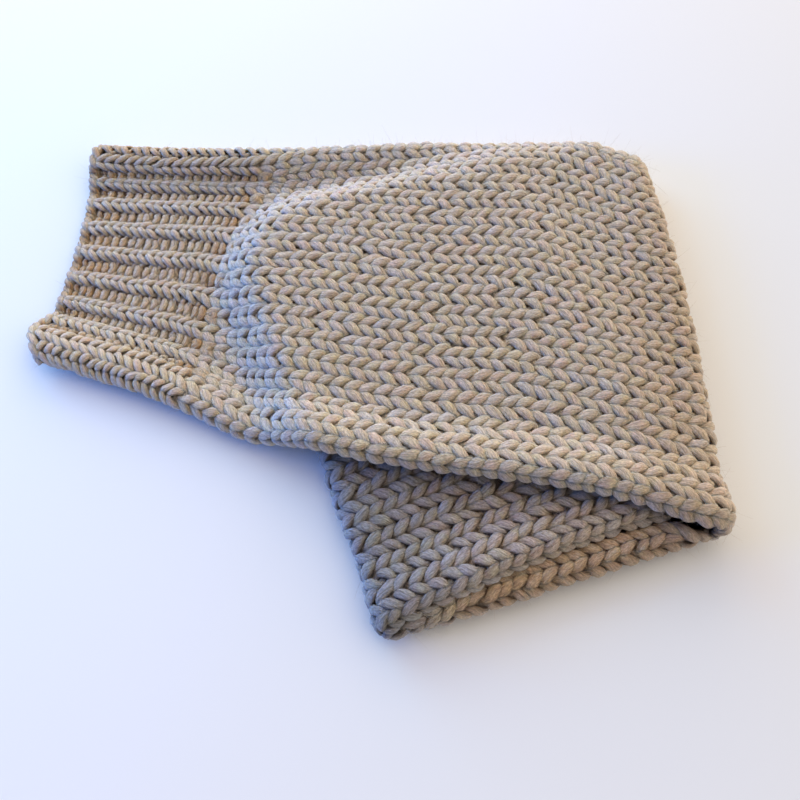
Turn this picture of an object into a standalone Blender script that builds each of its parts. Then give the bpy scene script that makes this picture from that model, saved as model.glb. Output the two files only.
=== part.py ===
"""A chunky knit scarf, folded in three and laid flat: ribbed end, top stretch, right fold, bottom
stretch, left fold and middle stretch. Sizes are in millimetres and the meshes in metres, Z up. It rests
on z = 0."""

import bpy
import numpy as np

MM = 0.001
ORIGIN_SHIFT = (16.9, -22.3)

THICK = 7.6
HALF = THICK / 2
LAYER_GAP = 0.8
SEAM_GAP = 0.7

# The long edges curl to the purl side over CURL_LENGTH of cloth, and the sheet rises over CURL_TAPER
# where it must to clear them.
CURL_LENGTH = 10.5
CURL_TAPER = 24.0

# Lines across the scarf, in the order of the cloth: stretch, then x, y at the back edge, the centre and
# the front edge.
LINES = (
    ("top", -173, 151, -173, 84, -183, 20),
    ("top", -125, 148, -135, 80, -144, 8.5),
    ("top", -76, 148, -97, 76, -107, -6),
    ("top", -30, 150.5, -46, 62, -61, -26),
    ("top", 30, 154, 16, 55, -3, -39),
    ("top", 85, 155.5, 75, 50, 59, -47),
    ("top", 101, 152, 102.5, 46, 93, -53),
    ("top", 127.5, 140, 138, 38, 134.5, -67),
    ("bottom", 129, 132, 139, 33, 136.5, -69.5),
    ("bottom", 28, 112, 48, 13, 68, -91),
    ("bottom", -76.5, 86, -40, -13, -3, -112),
    ("middle", -76.5, 89, -40, -8, -2, -107.5),
    ("middle", -22, 105, 11, 12, 43, -87),
    ("middle", 16, 114, 53, 26, 89, -70),
    ("middle", 47, 122, 85, 34, 123, -61),
)
RIB_LINES = 2

# How the edges curl: stretch, place along it from 0 to 1, degrees at the back edge and at the front one.
CURLS = (
    ("top", 0.0, 135, 135),
    ("top", 0.8, 125, 125),
    ("top", 1.0, 45, 60),
    ("bottom", 0.0, 45, 60),
    ("bottom", 0.15, 6, 120),
    ("bottom", 0.85, 6, 120),
    ("bottom", 1.0, 6, 40),
    ("middle", 0.0, 6, 40),
    ("middle", 0.25, 6, 75),
    ("middle", 0.5, 6, 65),
    ("middle", 0.75, 6, 25),
    ("middle", 1.0, 6, 20),
)

# The top stretch climbs onto the layers under it, from CLIMB_OUT outside their reach to CLIMB_IN inside it.
# They reach past their lines by FOLD_REACH at the left fold, BACK_REACH along their back edges and BASE_REACH
# at the right fold, and the corner where the first two meet is rounded by CORNER_ROUND.
CLIMB_OUT = 18.0
CLIMB_IN = 5.0
FOLD_REACH = 10.5
BACK_REACH = 9.0
BASE_REACH = 14.0
CORNER_ROUND = 45.0
# The left fold's back corner is tucked in by TUCK, over TUCK_LENGTH of the fold.
TUCK = 16.0
TUCK_LENGTH = 75.0
END_SAG = 0.35
SAG_LENGTH = 40.0

# Columns of the ribbed end, from 0 at the back edge of its flat part to 1 at the front one. Knit ones
# stand out.
KNIT_COLUMNS = (0.05, 0.125, 0.233, 0.363, 0.498, 0.632, 0.765, 0.864, 0.936)
PURL_COLUMNS = (0.09, 0.18, 0.3, 0.43, 0.565, 0.7, 0.82, 0.9)
RIB_RELIEF = 1.2
RELIEF_FADE = 0.4

# Each node: first and last mark along the cloth, length of a section, colour.
NODES = {
    "ribbed_end": ("cast_on", "rib_end", 10.0, (0.56, 0.46, 0.37)),
    "top_stretch": ("rib_end", "right_fold_top", 11.0, (0.60, 0.51, 0.43)),
    "right_fold": ("right_fold_top", "right_fold_base", 3.4, (0.55, 0.44, 0.34)),
    "bottom_stretch": ("right_fold_base", "left_fold_base", 13.0, (0.50, 0.40, 0.31)),
    "left_fold": ("left_fold_base", "left_fold_top", 2.6, (0.47, 0.45, 0.47)),
    "middle_stretch": ("left_fold_top", "bound_off", 12.0, (0.57, 0.49, 0.42)),
}
ROUGHNESS = 0.95

# A free end thins out: distance in from it, share of the thickness. EDGE_SHARE is that at a curl's end.
FREE_END = ((0.0, 0.45), (1.2, 0.8), (3.0, 1.0))
EDGE_SHARE = 0.6

SAMPLES = 40
ARC_SAMPLES = 15
SEAM_ROWS = 3
WALES = 25
CURL_COLUMNS = 5


def smooth(x):
    """0 to 1 with flat ends."""
    x = np.clip(x, 0.0, 1.0)
    return x * x * (3.0 - 2.0 * x)


def across(line, t):
    """A line's points at t, from 0 at the back edge to 1 at the front edge, by a parabola."""
    back, centre, front = (np.array(line[i : i + 2], float) for i in (1, 3, 5))
    t = t[:, None]
    return back * (1 - t) * (1 - 2 * t) + centre * 4 * t * (1 - t) + front * t * (2 * t - 1)


def spline(points, samples):
    """Catmull-Rom through the lines, shaped row by wale by coordinate."""
    points = [2 * points[0] - points[1], *points, 2 * points[-1] - points[-2]]
    pieces = []
    for a, b, c, d in zip(points, points[1:], points[2:], points[3:]):
        s = np.linspace(0, 1, samples, endpoint=False)[:, None, None]
        bend = (2 * a - 5 * b + 4 * c - d) * s**2 + (3 * b - a - 3 * c + d) * s**3
        pieces.append(b + 0.5 * ((c - a) * s + bend))
    return np.concatenate([*pieces, points[-2][None]])


def lengths(path):
    """Distance along each wale, from 0."""
    steps = np.linalg.norm(np.diff(path, axis=0), axis=-1)
    return np.concatenate([np.zeros((1, steps.shape[1])), np.cumsum(steps, axis=0)])


def resample(path, along, wanted):
    """Values of each wale at the wanted distances, shaped row by wale."""
    out = np.empty(wanted.shape + path.shape[-1:])
    for wale in range(path.shape[1]):
        for axis in range(path.shape[2]):
            out[:, wale, axis] = np.interp(wanted[:, wale], along[:, wale], path[:, wale, axis])
    return out


def soften(path, passes):
    """Rounds small kinks along the cloth, leaving the ends."""
    for _ in range(passes):
        path[1:-1] = path[1:-1] / 2 + (path[:-2] + path[2:]) / 4
    return path


def distance(x, y, start, end):
    """Signed distance to the line from start to end, positive on its left."""
    (ax, ay), (bx, by) = start, end
    return ((bx - ax) * (y - ay) - (by - ay) * (x - ax)) / np.hypot(bx - ax, by - ay)


def corner(first, second):
    """Signed distance to the rounded corner of two edges, positive inside both."""
    from_arc = np.hypot(np.maximum(CORNER_ROUND - first, 0), np.maximum(CORNER_ROUND - second, 0))
    return np.where(from_arc > 0, CORNER_ROUND - from_arc, np.minimum(first, second))


def climb(inside):
    """Share of a layer's height that the cloth on it has reached."""
    return smooth((inside + CLIMB_OUT) / (CLIMB_OUT + CLIMB_IN))


def lines_of(stretch):
    return [line for line in LINES if line[0] == stretch]


def behind(line, reach):
    """The point this far behind a line's back end."""
    return line[1], line[2] + reach


def top_height(x, y):
    """The top stretch's mid surface over the table and the layers under it."""
    base, fold, end = lines_of("bottom")[0], lines_of("middle")[0], lines_of("middle")[-1]
    from_fold = distance(x, y, fold[5:7], fold[1:3])
    left = FOLD_REACH - from_fold
    bottom_back = -distance(x, y, behind(fold, BACK_REACH), behind(base, BASE_REACH))
    middle_back = -distance(x, y, behind(fold, BACK_REACH), behind(end, BACK_REACH))
    past_end = -distance(x, y, end[5:7], end[1:3])
    over_middle = climb(corner(left, middle_back))
    over_bottom = np.maximum(climb(corner(left, bottom_back)), over_middle)
    over_middle *= 1 - END_SAG * smooth(past_end / SAG_LENGTH)
    return HALF + (THICK + LAYER_GAP) * (over_bottom + over_middle)


def curl_turns(stretch, place):
    """Radians that the back and front edges turn through, by the table CURLS."""
    rows = [row for row in CURLS if row[0] == stretch]
    places = [row[1] for row in rows]
    turns = [np.interp(place, places, [row[column] for row in rows]) for column in (2, 3)]
    return np.radians(np.stack(turns, axis=1))


def edge_drop(turns):
    """How far a curled edge reaches below its sheet."""
    return CURL_LENGTH / turns * (1 - np.cos(turns))


def edge_reach(turns):
    """How far a curled edge reaches outwards."""
    return CURL_LENGTH / turns * np.sin(np.minimum(turns, np.pi / 2))


def plan_of(name, t):
    """A stretch's plan, row by wale, with the left fold's back corner tucked in."""
    lines = lines_of(name)
    plan = [across(line, t) for line in lines]
    fold = {"bottom": -1, "middle": 0}.get(name)
    if fold is not None:
        plan[fold][:, 0] += TUCK * (1 - smooth(t * np.ptp(plan[fold][:, 1]) / TUCK_LENGTH))
    return spline(plan, SAMPLES)


def stretch_sheet(name, t):
    """The flat part of one stretch, row by wale, and its edges' turns. Its lines are the curls' outline."""
    plan = plan_of(name, t)
    turns = curl_turns(name, np.linspace(0, 1, len(plan)))
    width = np.linalg.norm(plan[:, -1] - plan[:, 0], axis=1)[:, None]
    inset = edge_reach(turns) / width
    inner = inset[:, :1] + t * (1 - inset.sum(axis=1, keepdims=True))
    even = np.repeat(t[:, None], len(plan), axis=1)
    flat = resample(plan.swapaxes(0, 1), even, inner.T).swapaxes(0, 1)
    height = {
        "top": top_height(flat[..., 0], flat[..., 1]),
        "bottom": np.full(flat.shape[:2], HALF),
        "middle": np.full(flat.shape[:2], HALF + THICK + LAYER_GAP),
    }[name]
    if name != "bottom":
        drop = edge_drop(turns)
        back = np.maximum(drop[:, :1] - height[:, :1] + HALF, 0)
        height += back * (1 - smooth(t * width / CURL_TAPER))
        height += drop[:, 1:] * (1 - smooth((1 - t) * width / CURL_TAPER))
    return np.concatenate([flat, height[..., None]], axis=-1), turns


def fold_sheet(before, after):
    """The half turn from the last row of one stretch to the first row of the next."""
    start, end = before[-1], after[0]
    radius = (start[:, 2] - end[:, 2]) / 2
    tangent = np.gradient(start[:, :2], axis=0)
    normal = np.stack([tangent[:, 1], -tangent[:, 0]], axis=1)
    normal /= np.linalg.norm(normal, axis=1)[:, None]
    heading = before[-1, :, :2] - before[-4, :, :2]
    normal *= np.sign((normal * heading).sum(axis=1))[:, None]
    rows = []
    for turn in np.linspace(0, np.pi, ARC_SAMPLES + 2)[1:-1]:
        row = start + (end - start) * turn / np.pi
        row[:, :2] += (np.abs(radius) * np.sin(turn))[:, None] * normal
        row[:, 2] = end[:, 2] + radius * (1 + np.cos(turn))
        rows.append(row)
    return np.array(rows)


def whole_sheet():
    """The scarf's flat part with its edges' turns, row by wale, and how far along it each mark is."""
    t = np.linspace(0, 1, WALES)
    top, top_turns = stretch_sheet("top", t)
    bottom, bottom_turns = stretch_sheet("bottom", t)
    middle, middle_turns = stretch_sheet("middle", t)
    parts = [top, fold_sheet(top, bottom), bottom, fold_sheet(bottom, middle), middle]
    sheet = soften(np.concatenate(parts), 4)
    held = [np.repeat(turns[-1:], ARC_SAMPLES, axis=0) for turns in (top_turns, bottom_turns)]
    turns = np.concatenate([top_turns, held[0], bottom_turns, held[1], middle_turns])
    along = lengths(sheet)
    last = np.cumsum([len(part) for part in parts])
    marks = {
        "cast_on": along[0],
        "rib_end": along[RIB_LINES * SAMPLES],
        "right_fold_top": along[last[0] - 1 - SEAM_ROWS],
        "right_fold_base": along[last[1] + SEAM_ROWS],
        "left_fold_base": along[last[2] - 1 - SEAM_ROWS],
        "left_fold_top": along[last[3] + SEAM_ROWS],
        "bound_off": along[-1],
    }
    return sheet, turns, along, marks


def unit(vectors):
    return vectors / np.linalg.norm(vectors, axis=-1, keepdims=True)


def curl(edge, outward, knit_side, turns, columns):
    """The curled edge's mid surface and its knit-side directions, from beside the sheet to the edge."""
    turn = turns[:, None] * np.linspace(0, 1, columns + 1)[1:]
    radius = (CURL_LENGTH / turns)[:, None, None]
    sine, cosine = np.sin(turn)[..., None], np.cos(turn)[..., None]
    outward, knit_side = outward[:, None], knit_side[:, None]
    points = edge[:, None] + radius * (sine * outward - (1 - cosine) * knit_side)
    return points, sine * outward + cosine * knit_side


def section_places(name, marks):
    """Distances of a node's sections along each wale, row by wale, and the share of the thickness there."""
    first_mark, last_mark, step, _ = NODES[name]
    first = marks[first_mark] + SEAM_GAP / 2
    last = marks[last_mark] - SEAM_GAP / 2
    span = float(np.mean(last - first))
    share = np.linspace(0, 1, round(span / step) + 1)
    thick = np.ones_like(share)
    depths = np.array([row[0] for row in FREE_END]) / span
    thin = np.array([row[1] for row in FREE_END])
    if first_mark == "cast_on":
        share = np.concatenate([depths, share[1:]])
        thick = np.concatenate([thin, thick[1:]])
    if last_mark == "bound_off":
        share = np.concatenate([share[:-1], 1 - depths[::-1]])
        thick = np.concatenate([thick[:-1], thin[::-1]])
    return first + share[:, None] * (last - first), thick


def rib_columns():
    """Places of the columns across the flat part, and how far each stands out of the ribbed end."""
    places = {0.0: 0.0, 1.0: 0.0}
    places.update({place: RIB_RELIEF for place in KNIT_COLUMNS})
    places.update({place: -RIB_RELIEF for place in PURL_COLUMNS})
    order = sorted(places)
    return np.array(order), np.array([places[place] for place in order])


def node_shell(name, sheet, knit_side, outward, turns, along, marks):
    """The knit side and the purl side of a node's wall, each row by column."""
    wanted, thick = section_places(name, marks)
    points = resample(sheet, along, wanted)
    normals = unit(resample(knit_side, along, wanted))
    turns = resample(np.repeat(turns[:, None], WALES, axis=1), along, wanted)
    places, relief = rib_columns()
    wales = np.repeat(np.linspace(0, 1, WALES)[:, None], len(points), axis=1)
    chosen = np.repeat(places[:, None], len(points), axis=1)
    flat = resample(points.swapaxes(0, 1), wales, chosen).swapaxes(0, 1)
    faced = unit(resample(normals.swapaxes(0, 1), wales, chosen).swapaxes(0, 1))
    outward = unit(resample(outward, along, wanted))
    first, last = (0, -outward[:, 0]), (-1, outward[:, -1])
    (back, back_faced), (front, front_faced) = (
        curl(points[:, side], away, normals[:, side], turns[:, side, side], CURL_COLUMNS)
        for side, away in (first, last)
    )
    middle = np.concatenate([back[:, ::-1], flat, front], axis=1)
    faced = np.concatenate([back_faced[:, ::-1], faced, front_faced], axis=1)
    half = HALF * thick[:, None] * np.ones(middle.shape[1])
    half[:, 0] *= EDGE_SHARE
    half[:, -1] *= EDGE_SHARE
    raised = np.zeros_like(half)
    if name == "ribbed_end":
        fade = np.sin(np.linspace(0, np.pi, len(points)))[:, None] ** RELIEF_FADE
        raised[:, CURL_COLUMNS:-CURL_COLUMNS] = relief * fade
    return middle + (half + raised)[..., None] * faced, middle - half[..., None] * faced


def grid_faces(index):
    """Quads of a grid of vertices."""
    quads = np.stack([index[:-1, :-1], index[:-1, 1:], index[1:, 1:], index[1:, :-1]], axis=-1)
    return quads.reshape(-1, 4)


def end_faces(outer, inner):
    """Triangles between the two sides at an end. Ends that meet are split alike, so that they lie level."""
    first = np.stack([outer[1:], outer[:-1], inner[1:]], axis=-1)
    second = np.stack([outer[:-1], inner[:-1], inner[1:]], axis=-1)
    return np.concatenate([first, second])


def edge_faces(outer, inner):
    """Quads between the two sides along an edge."""
    return np.stack([outer[1:], outer[:-1], inner[:-1], inner[1:]], axis=-1)


def shell_faces(rows, columns):
    """The faces of a wall whose two sides are grids, one after the other in the vertex list."""
    outer = np.arange(rows * columns).reshape(rows, columns)
    inner = outer + rows * columns
    return [
        *grid_faces(outer).tolist(),
        *grid_faces(inner)[:, ::-1].tolist(),
        *end_faces(outer[0], inner[0]).tolist(),
        *end_faces(outer[-1], inner[-1])[:, ::-1].tolist(),
        *edge_faces(outer[:, -1], inner[:, -1]).tolist(),
        *edge_faces(outer[:, 0], inner[:, 0])[:, ::-1].tolist(),
    ]


def add_node(name, outer, inner):
    points = np.concatenate([outer.reshape(-1, 3), inner.reshape(-1, 3)])
    points[:, :2] += ORIGIN_SHIFT
    mesh = bpy.data.meshes.new(name)
    mesh.from_pydata((points * MM).tolist(), [], shell_faces(*outer.shape[:2]))
    mesh.update()
    node = bpy.data.objects.new(name, mesh)
    bpy.context.scene.collection.objects.link(node)
    node.data.materials.append(yarn_material(name, NODES[name][-1]))


def yarn_material(name, colour):
    material = bpy.data.materials.new(name + "_yarn")
    material.use_nodes = True
    shader = material.node_tree.nodes["Principled BSDF"]
    shader.inputs["Base Color"].default_value = (*colour, 1)
    shader.inputs["Roughness"].default_value = ROUGHNESS
    shader.inputs["Metallic"].default_value = 0
    return material


def main():
    for old in list(bpy.data.objects):
        bpy.data.objects.remove(old)
    sheet, turns, along, marks = whole_sheet()
    ahead = np.gradient(sheet, axis=0)
    knit_side = unit(np.cross(np.gradient(sheet, axis=1), ahead))
    outward = unit(np.cross(ahead, knit_side))
    for name in NODES:
        add_node(name, *node_shell(name, sheet, knit_side, outward, turns, along, marks))


main()
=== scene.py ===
"""The looks of a chunky knit scarf, folded in three: every stitch is a loop of plied yarn on the
cloth's own surface. Sizes are in millimetres until a mesh is made, which is in metres."""

import math

import bpy
import numpy as np
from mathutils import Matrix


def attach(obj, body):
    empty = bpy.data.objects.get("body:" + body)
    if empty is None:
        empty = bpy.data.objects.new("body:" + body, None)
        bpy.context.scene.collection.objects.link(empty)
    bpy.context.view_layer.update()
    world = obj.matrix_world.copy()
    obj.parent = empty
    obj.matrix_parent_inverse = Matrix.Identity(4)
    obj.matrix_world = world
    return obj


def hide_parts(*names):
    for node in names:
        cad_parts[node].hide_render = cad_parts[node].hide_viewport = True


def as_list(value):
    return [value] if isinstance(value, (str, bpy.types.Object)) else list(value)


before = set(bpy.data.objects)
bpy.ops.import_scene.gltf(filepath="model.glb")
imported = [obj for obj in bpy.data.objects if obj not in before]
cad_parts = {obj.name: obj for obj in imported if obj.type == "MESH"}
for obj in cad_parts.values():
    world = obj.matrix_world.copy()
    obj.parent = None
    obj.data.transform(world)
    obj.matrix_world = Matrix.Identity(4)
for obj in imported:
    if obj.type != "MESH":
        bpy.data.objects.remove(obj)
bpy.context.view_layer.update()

MM = 0.001
BODY = "root"
SEED = 7

# From the plan's own origin to the frame's.
ORIGIN_SHIFT = (16.9, -22.3)

# The cloth's surface is the CAD part's, but for a gentler climb on to the layers below.
THICK = 7.6
HALF = THICK / 2
LAYER_GAP = 0.8

# Lines across the scarf, in the order of the cloth: stretch, then x, y at the back edge, the centre
# and the front edge. The ribbed end goes up to line RIB_LINES of the top stretch, counted from 0.
LINES = (
    ("top", -173, 151, -173, 84, -183, 20),
    ("top", -125, 148, -135, 80, -144, 8.5),
    ("top", -76, 148, -97, 76, -107, -6),
    ("top", -30, 150.5, -46, 62, -61, -26),
    ("top", 30, 154, 16, 55, -3, -39),
    ("top", 85, 155.5, 75, 50, 59, -47),
    ("top", 101, 152, 102.5, 46, 93, -53),
    ("top", 127.5, 140, 138, 38, 134.5, -67),
    ("bottom", 129, 132, 139, 33, 136.5, -69.5),
    ("bottom", 28, 112, 48, 13, 68, -91),
    ("bottom", -76.5, 86, -40, -13, -3, -112),
    ("middle", -76.5, 89, -40, -8, -2, -107.5),
    ("middle", -22, 105, 11, 12, 43, -87),
    ("middle", 16, 114, 53, 26, 89, -70),
    ("middle", 47, 122, 85, 34, 123, -61),
)
RIB_LINES = 2

# The top stretch climbs on to the layers under it, from CLIMB_OUT outside their reach to CLIMB_IN
# inside it. They reach past their lines by FOLD_REACH at the left fold, BACK_REACH along their back
# edges and BASE_REACH at the right fold, and the corner where the first two meet is rounded by
# CORNER_ROUND.
CLIMB_OUT = 23.0
CLIMB_IN = 5.0
FOLD_REACH = 10.5
BACK_REACH = 9.0
BASE_REACH = 14.0
CORNER_ROUND = 45.0
# The left fold's back corner is tucked in by TUCK, over TUCK_LENGTH of the fold.
TUCK = 16.0
TUCK_LENGTH = 75.0
# Past the middle stretch's end, the top one sags by a share of that layer's height.
END_SAG = 0.35
SAG_LENGTH = 40.0

# Points of the surface: from one line to the next, in a fold and across. A fold's seams lie
# SEAM_ROWS points outside it, and the HEADING_ROWS points before it show which way it bulges.
SAMPLES = 40
ARC_SAMPLES = 15
WALES = 45
SEAM_ROWS = 3
HEADING_ROWS = 3
SOFTEN_PASSES = 4

# How the edges curl to the purl side: stretch and place along it. For the back edge: degrees,
# length and lift. For the front one: the same three, the length of a straight end past the curl,
# and the column at which it begins. A lift fades out over CURL_TAPER.
CURLS = (
    ("top", 0.0, 135, 9.5, 7.6, 70, 8.4, 7.6, 0, 18.95),
    ("top", 0.14, 135, 9.5, 7.6, 80, 7.8, 7.6, 0, 18.95),
    ("top", 0.35, 135, 9.5, 7.6, 105, 6.8, 7.6, 0, 18.95),
    ("top", 0.8, 125, 9.5, 7.6, 105, 6.8, 7.6, 0, 18.95),
    ("top", 1.0, 45, 10.5, 3.9, 70, 8.2, 5.0, 0, 18.95),
    ("bottom", 0.0, 45, 10.5, 0, 70, 8.2, 0, 0, 18.95),
    ("bottom", 0.12, 6, 10.5, 0, 185, 17.5, 0, 6.5, 18.1),
    ("bottom", 0.78, 6, 10.5, 0, 185, 17.5, 0, 6.5, 18.1),
    ("bottom", 0.92, 6, 10.5, 0, 150, 13.0, 0, 3.0, 18.4),
    ("bottom", 1.0, 6, 10.5, 0, 90, 9.0, 0, 0, 18.95),
    ("middle", 0.0, 6, 10.5, 0.5, 90, 8.0, 3.5, 0, 18.95),
    ("middle", 0.25, 6, 10.5, 0.5, 95, 6.9, 5.9, 0, 18.95),
    ("middle", 0.75, 6, 10.5, 0.5, 95, 6.9, 3.5, 0, 18.95),
    ("middle", 1.0, 6, 10.5, 0.5, 60, 8.2, 1.8, 0, 18.95),
)
BACK_TURN, BACK_LENGTH, BACK_LIFT = range(2, 5)
FRONT_TURN, FRONT_LENGTH, FRONT_LIFT, FRONT_END, FRONT_COLUMN = range(5, 10)
CURL_TAPER = 24.0

# Stitches across, rows of rib, rows in all and the length of one stockinette course.
STITCHES = 20
RIB_ROWS = 17
ROWS = 97
COURSE = 7.25
# The knitted grid: points to a row and to a column, and how far inside its last line places stay.
ROW_STEPS = 8
COLUMN_STEPS = 8
INSIDE = 1.001

# The back edge curls from column BACK_FLAT out, and at BACK_SIDE it is SIDE_TURN through its curl.
# Marks are placed as if the front edge's curl began at FRONT_FLAT.
BACK_FLAT, BACK_SIDE = 2.5, 1.3
SIDE_TURN = 2 / 3
FRONT_FLAT = 18.95

# The ribbed end: its purl columns, the columns with uneven knit legs, how far knit columns stand
# out of it and purl ones lie back, and the girth of its yarn. It fades over RIB_FADE rows, from
# RIB_FADE_START before its end.
PURLS = (3, 5, 7, 9, 11, 13, 15, 17)
RIB_KNITS = (2, 4, 6, 8, 10, 12, 14, 16)
RIB_RELIEF = 1.3
RIB_GIRTH = 0.70
RIB_FADE = 1.6
RIB_FADE_START = 0.8
# Columns that are drawn aside in it, by how many stitches, the squeeze of its purl columns, and the
# rows over which both fade.
DRAWN = (
    (0, -0.27), (1, 0.17), (2, 0.88), (4, 0.11), (6, -0.11), (8, 0.02), (10, 0.24), (12, 0.45),
    (14, 0.56), (16, 0.16), (16.5, 0.18), (17.5, -0.38), (18, -0.25), (18.5, -0.12), (19, -0.05),
)
PURL_SQUEEZE = 0.06
DRAWN_FADE = 6.0
# How many rows the cast-on edge is drawn in by, at places across it, and over how many that fades.
CAST_ON = (
    (0, 1.0), (1.5, 0.5), (3, 0), (16, 0), (17, -0.9),
    (17.8, -1.2), (18.6, -0.8), (19.2, 0.1), (20, 1.4),
)
CAST_ON_FADE = 14

# One loop from its left sinker to the middle of its head: across in stitches, along in rows, depth
# and girth. The other half mirrors it.
LOOP = (
    (-0.50, 0.02, -1.00, 0.88),
    (-0.27, -0.02, -0.95, 0.84),
    (-0.08, 0.20, -0.30, 0.86),
    (-0.14, 0.60, 0.88, 1.10),
    (-0.31, 1.02, 1.00, 1.16),
    (-0.45, 1.43, 0.00, 0.94),
    (-0.27, 1.78, -0.95, 0.82),
    (0.00, 1.88, -1.05, 0.86),
)
# The whole loop of a knit and of a purl stitch in the ribbing, where the knit legs pull unevenly.
RIB_LOOP = (
    (-0.50, 0.02, -1.00, 0.88),
    (-0.30, -0.04, -0.90, 0.84),
    (-0.12, 0.14, -0.10, 0.86),
    (-0.16, 0.52, 0.85, 1.02),
    (-0.28, 1.02, 1.00, 1.08),
    (-0.42, 1.52, 0.10, 0.90),
    (-0.27, 1.80, -0.90, 0.84),
    (0.00, 1.88, -1.00, 0.88),
    (0.27, 1.76, -0.90, 0.84),
    (0.41, 1.48, 0.05, 0.90),
    (0.26, 1.02, 1.05, 1.12),
    (0.10, 0.54, 1.00, 1.06),
    (0.02, 0.16, -0.10, 0.86),
    (0.27, -0.02, -0.90, 0.84),
)
PURL_LOOP = (
    (-0.50, 0.02, -0.60, 0.80),
    (-0.27, -0.02, -0.60, 0.80),
    (-0.06, 0.16, -0.10, 0.80),
    (-0.13, 0.58, 0.95, 0.95),
    (-0.30, 1.08, 1.00, 0.95),
    (-0.38, 1.52, 0.10, 0.90),
    (-0.17, 1.80, -1.10, 1.12),
    (0.06, 1.86, -1.30, 1.22),
    (0.29, 1.80, -1.10, 1.12),
    (0.42, 1.52, 0.10, 0.90),
    (0.30, 1.08, 1.00, 0.95),
    (0.13, 0.58, 0.95, 0.95),
    (0.06, 0.16, -0.10, 0.80),
    (0.27, -0.02, -0.60, 0.80),
)
# The yarn's turn from one row into the next at an edge: share of the way, depth and girth.
EDGE_TURN = ((0.00, -1.00, 0.84), (0.20, -1.20, 0.84), (0.80, -1.20, 0.84), (1.00, -1.00, 0.84))

# A depth of 1 in mm and the yarn's radius at a girth of 1. The yarn is pressed a little flat, and
# each of its sides has lumps of its own: their share of the radius, and radians a mm.
DEPTH = 1.3
YARN_RADIUS = 2.22
FLATTENED = 0.74
LUMPS = 0.035
LUMP_TURNS = (0.9, 1.3, 1.1, 1.7, 0.8, 1.5, 1.2, 1.9)
# Points on the yarn from one key to the next, and sides of its finer and coarser tube.
KEY_SAMPLES = 2
FINE_SIDES = 8
COARSE_SIDES = 6
# Nothing is closer to the table than this.
TABLE_GAP = 0.05

# Unevenness: slow drifts with their spacing in rows and columns and their size, each stitch's own
# spread, and the spread of each key of its loop.
DRIFTS = (("aside", (7, 5), 0.09), ("ahead", (6, 4), 0.16))
SPREADS = {
    "aside": 0.03, "ahead": 0.055, "opening": 0.1, "height": 0.035, "depth": 0.1, "girth": 0.05,
}
KEY_SPREADS = (0.014, 0.035, 0.10, 0.03)

# The twist of two strands at the cast-on edge and at the bound-off one: its piece and row, and the
# strands' turns in a stitch, swing in rows, depth and girth.
CORDS = (
    ("ribbed_end_yarn", -0.15, 1.0, 0.26, 0.75, 1.2),
    ("middle_stretch_yarn", ROWS + 0.75, 1.0, 0.16, 0.8, 0.9),
)
CORD_STEPS = 8

# Painted shade in the groove in front of each ribbed knit column: how much deeper it looks than
# it is, its width in stitches, and how far past the knit column it lies.
GROOVE = 4.8
GROOVE_WIDTH = 0.19
GROOVE_PLACE = 0.08
# The layers under the top one get painted shade, as if deeper by the third value, in mm: from a row
# on, over some rows.
UNDER_ROW = 53
UNDER_FADE = 5
UNDER_SHADE = 5.0
# Shares of ochre, as bands with a middle row, a reach in rows and a share: in the ribbing's purl
# columns, which have some all along, and before CORNER_STITCH at its back corner. At the right
# fold and on the bottom stretch the ochre is painted warm shade.
PURL_OCHRE = ((0, 4.5, 1.0), (RIB_ROWS, 1.6, 0.9))
PURL_OCHRE_ALL = 0.3
PURL_OCHRE_WIDTH = 0.55
CORNER_OCHRE = (0, 8, 0.8)
CORNER_STITCH = 2.6
TURN_WARM_SHADE = (50.5, 3.5, 0.4)
RIM_WARM_SHADE = 0.45
# The middle stretch gets a grey painted shade, from a row on, and most of all in a band by the left
# fold.
GREY_ROW = 70
GREY_FADE = 6
GREY_ALL = 0.28
GREY_FOLD = (79, 6.5, 0.72)

# Pieces of yarn: name, the mark or row where it starts, its loose fibres, and the stitch from which
# its tube is the finer one. The others can be seen only when the scarf is turned over.
PIECES = (
    ("ribbed_end_yarn", 0, 4000, 0),
    ("top_stretch_yarn_1", "rib_end", 8000, 0),
    ("top_stretch_yarn_2", 33, 8000, 0),
    ("right_fold_yarn", "right_fold_top", 2000, 0),
    ("bottom_stretch_yarn", "right_fold_base", 3000, 16),
    ("left_fold_yarn", "left_fold_base", 900, 0),
    ("middle_stretch_yarn", "left_fold_top", 4000, 8),
)
# The CAD nodes that they stand for.
REPLACED = {
    "ribbed_end_yarn": "ribbed_end",
    "top_stretch_yarn_1": "top_stretch",
    "right_fold_yarn": "right_fold",
    "bottom_stretch_yarn": "bottom_stretch",
    "left_fold_yarn": "left_fold",
    "middle_stretch_yarn": "middle_stretch",
}
# The middle of a stitch, in rows and in stitches.
STITCH_MIDDLE = (0.9, 0.5)

# Loose fibres: steps along one, its length, width and rise, how much more it heads along the yarn
# than across it, its bend, and how much narrower its tip is.
FUZZ_STEPS = 3
FUZZ_LENGTH = (2.5, 6.5)
FUZZ_WIDTH = 0.11
FUZZ_RISE = (0.1, 1.3)
FUZZ_ALONG = 1.6
FUZZ_CURL = 0.55
FUZZ_TAPER = 0.6

# The sheet among the loops' feet: its first and last stitch and row, columns of points and depth.
BASE_STITCHES = (0.1, STITCHES - 0.05)
BASE_ROWS = (-0.15, ROWS + 0.6)
BASE_COLUMNS = 60
BASE_DEPTH = 1.4

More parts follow.
